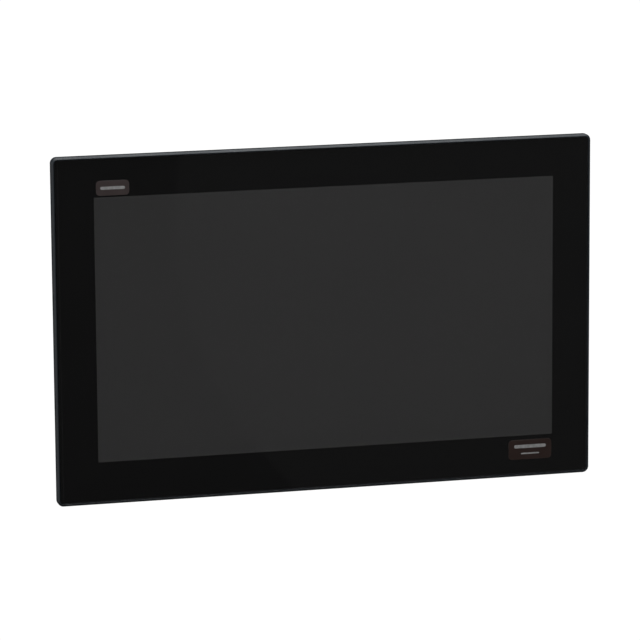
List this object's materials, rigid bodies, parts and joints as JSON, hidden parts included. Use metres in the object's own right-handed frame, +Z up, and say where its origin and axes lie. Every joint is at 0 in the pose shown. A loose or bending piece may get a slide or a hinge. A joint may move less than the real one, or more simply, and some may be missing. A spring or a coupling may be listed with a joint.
{
  "type": "hmi touch panel",
  "caption": "Flush glass operator touch panel for a cabinet door, with a wide display, rear electronics box, cable sockets and screw clips that clamp it in the cut-out.",
  "frame": {"origin": "centre of the plane where the frame's flange seats on the cabinet panel", "axes": "+X to the operator's right, +Z up, +Y into the cabinet; the glass faces -Y"},
  "size_m": [0.4052, 0.0481, 0.2566],
  "materials": {
    "dark_paint": "satin dark grey powder coat",
    "cover_glass": "toughened, gloss",
    "black_film": "black print seen through glass",
    "sensor_glass": "thin coated glass",
    "foam_tape": "closed-cell foam tape",
    "gasket_rubber": "matt foam rubber",
    "badge_foil": "thin satin foil",
    "sheet_steel": "zinc-plated sheet",
    "display_glass": "matt polariser",
    "white_plastic": "white moulding",
    "optical_film": "white film",
    "acrylic": "clear acrylic",
    "circuit_board": "green solder mask",
    "chip_black": "moulded epoxy",
    "component_metal": "can and ferrite parts",
    "polyimide": "amber flex",
    "ribbon_grey": "flat cable",
    "thermal_grey": "soft gap filler",
    "heat_sink_aluminium": "dark anodised extrusion",
    "cell_steel": "nickel-plated",
    "terminal_green": "green moulding",
    "plated_steel": "nickel-plated sheet",
    "black_plastic": "fine spark texture",
    "switch_white": "white moulding",
    "screw_steel": "zinc-plated",
    "cast_cover": "fine textured dark grey coat on casting",
    "label_silver": "blank silver foil",
    "clip_zinc": "die-cast"
  },
  "bodies": {
    "panel": {"front_bezel": "dark_paint", "panel_gasket": "gasket_rubber", "cover_glass": "cover_glass", "border_film": "black_film", "touch_sensor": "sensor_glass", "glass_tape": "foam_tape", "badge_plates": "badge_foil", "lcd_front_frame": "sheet_steel", "lcd_cell": "display_glass", "lcd_mid_frame": "white_plastic", "optical_sheets": "optical_film", "light_guide": "acrylic", "led_strip": "white_plastic", "backlight_tray": "sheet_steel", "lcd_driver_board": "circuit_board", "touch_tail": "polyimide", "touch_board": "circuit_board", "chassis_plate": "sheet_steel", "board_standoffs": "screw_steel", "chassis_screws": "screw_steel", "main_board": "circuit_board", "board_chips": "chip_black", "board_components": "component_metal", "thermal_pad": "thermal_grey", "heat_sink": "heat_sink_aluminium", "battery_holder": "black_plastic", "coin_cell": "cell_steel", "lcd_cable": "ribbon_grey", "power_header": "terminal_green", "ethernet_jacks": "plated_steel", "usb_ports": "plated_steel", "serial_port": "plated_steel", "memory_socket": "plated_steel", "board_switches": "black_plastic", "rear_cover": "cast_cover", "cover_screws": "screw_steel", "earth_screw": "screw_steel", "rating_label": "label_silver", "clip_bodies": "clip_zinc"},
    "power_plug": {"power_plug": "terminal_green"},
    "memory_card": {"memory_card": "black_plastic"},
    "reset_button": {"reset_button": "switch_white"},
    "access_door": {"access_door": "black_plastic"},
    "terminal_screw_1": {"terminal_screw_1": "screw_steel"},
    "terminal_screw_2": {"terminal_screw_2": "screw_steel"},
    "terminal_screw_3": {"terminal_screw_3": "screw_steel"},
    "dip_slider_1": {"dip_slider_1": "switch_white"},
    "dip_slider_2": {"dip_slider_2": "switch_white"},
    "clip_screw_1": {"clip_screw_1": "screw_steel"},
    "clip_foot_1": {"clip_foot_1": "black_plastic"},
    "clip_screw_2": {"clip_screw_2": "screw_steel"},
    "clip_foot_2": {"clip_foot_2": "black_plastic"},
    "clip_screw_3": {"clip_screw_3": "screw_steel"},
    "clip_foot_3": {"clip_foot_3": "black_plastic"},
    "clip_screw_4": {"clip_screw_4": "screw_steel"},
    "clip_foot_4": {"clip_foot_4": "black_plastic"},
    "clip_screw_5": {"clip_screw_5": "screw_steel"},
    "clip_foot_5": {"clip_foot_5": "black_plastic"},
    "clip_screw_6": {"clip_screw_6": "screw_steel"},
    "clip_foot_6": {"clip_foot_6": "black_plastic"}
  },
  "joints": [
    {"name": "clip_1_travel", "type": "slide", "parent": "panel", "child": "clip_foot_1", "axis": [0, -1, 0], "range_m": [-0.003, 0.0015]},
    {"name": "clip_1_turn", "type": "hinge", "parent": "clip_foot_1", "child": "clip_screw_1", "pos_m": [-0.11, 0.0245, 0.1203], "axis": [0, -1, 0], "range_deg": [-1543, 772]},
    {"name": "clip_2_travel", "type": "slide", "parent": "panel", "child": "clip_foot_2", "axis": [0, -1, 0], "range_m": [-0.003, 0.0015]},
    {"name": "clip_2_turn", "type": "hinge", "parent": "clip_foot_2", "child": "clip_screw_2", "pos_m": [0, 0.0245, 0.1203], "axis": [0, -1, 0], "range_deg": [-1543, 772]},
    {"name": "clip_3_travel", "type": "slide", "parent": "panel", "child": "clip_foot_3", "axis": [0, -1, 0], "range_m": [-0.003, 0.0015]},
    {"name": "clip_3_turn", "type": "hinge", "parent": "clip_foot_3", "child": "clip_screw_3", "pos_m": [0.11, 0.0245, 0.1203], "axis": [0, -1, 0], "range_deg": [-1543, 772]},
    {"name": "clip_4_travel", "type": "slide", "parent": "panel", "child": "clip_foot_4", "axis": [0, -1, 0], "range_m": [-0.003, 0.0015]},
    {"name": "clip_4_turn", "type": "hinge", "parent": "clip_foot_4", "child": "clip_screw_4", "pos_m": [-0.11, 0.0245, -0.1203], "axis": [0, -1, 0], "range_deg": [-1543, 772]},
    {"name": "clip_5_travel", "type": "slide", "parent": "panel", "child": "clip_foot_5", "axis": [0, -1, 0], "range_m": [-0.003, 0.0015]},
    {"name": "clip_5_turn", "type": "hinge", "parent": "clip_foot_5", "child": "clip_screw_5", "pos_m": [0, 0.0245, -0.1203], "axis": [0, -1, 0], "range_deg": [-1543, 772]},
    {"name": "clip_6_travel", "type": "slide", "parent": "panel", "child": "clip_foot_6", "axis": [0, -1, 0], "range_m": [-0.003, 0.0015]},
    {"name": "clip_6_turn", "type": "hinge", "parent": "clip_foot_6", "child": "clip_screw_6", "pos_m": [0.11, 0.0245, -0.1203], "axis": [0, -1, 0], "range_deg": [-1543, 772]},
    {"name": "access_door_hinge", "type": "hinge", "parent": "panel", "child": "access_door", "pos_m": [0.153, 0.0372, 0.02], "axis": [0, 0, 1], "range_deg": [0, 90]},
    {"name": "memory_card_eject", "type": "slide", "parent": "panel", "child": "memory_card", "axis": [1, 0, 0], "range_m": [0, 0.004]},
    {"name": "reset_button_press", "type": "slide", "parent": "panel", "child": "reset_button", "axis": [-1, 0, 0], "range_m": [0, 0.0008]},
    {"name": "dip_slider_1_throw", "type": "slide", "parent": "panel", "child": "dip_slider_1", "axis": [0, 1, 0], "range_m": [0, 0.0016]},
    {"name": "dip_slider_2_throw", "type": "slide", "parent": "panel", "child": "dip_slider_2", "axis": [0, 1, 0], "range_m": [0, 0.0016]},
    {"name": "power_plug_pull", "type": "slide", "parent": "panel", "child": "power_plug", "axis": [0, 0, -1], "range_m": [0, 0.012]},
    {"name": "terminal_screw_1_turn", "type": "hinge", "parent": "power_plug", "child": "terminal_screw_1", "pos_m": [-0.05508, 0.0374, -0.0675], "axis": [0, -1, 0], "range_deg": [-1440, 0]},
    {"name": "terminal_screw_2_turn", "type": "hinge", "parent": "power_plug", "child": "terminal_screw_2", "pos_m": [-0.05, 0.0374, -0.0675], "axis": [0, -1, 0], "range_deg": [-1440, 0]},
    {"name": "terminal_screw_3_turn", "type": "hinge", "parent": "power_plug", "child": "terminal_screw_3", "pos_m": [-0.04492, 0.0374, -0.0675], "axis": [0, -1, 0], "range_deg": [-1440, 0]}
  ],
  "couplings": [
    {"joint": "clip_1_turn", "follows": "clip_1_travel", "rad_per_m": 8976},
    {"joint": "clip_2_turn", "follows": "clip_2_travel", "rad_per_m": 8976},
    {"joint": "clip_3_turn", "follows": "clip_3_travel", "rad_per_m": 8976},
    {"joint": "clip_4_turn", "follows": "clip_4_travel", "rad_per_m": 8976},
    {"joint": "clip_5_turn", "follows": "clip_5_travel", "rad_per_m": 8976},
    {"joint": "clip_6_turn", "follows": "clip_6_travel", "rad_per_m": 8976}
  ]
}
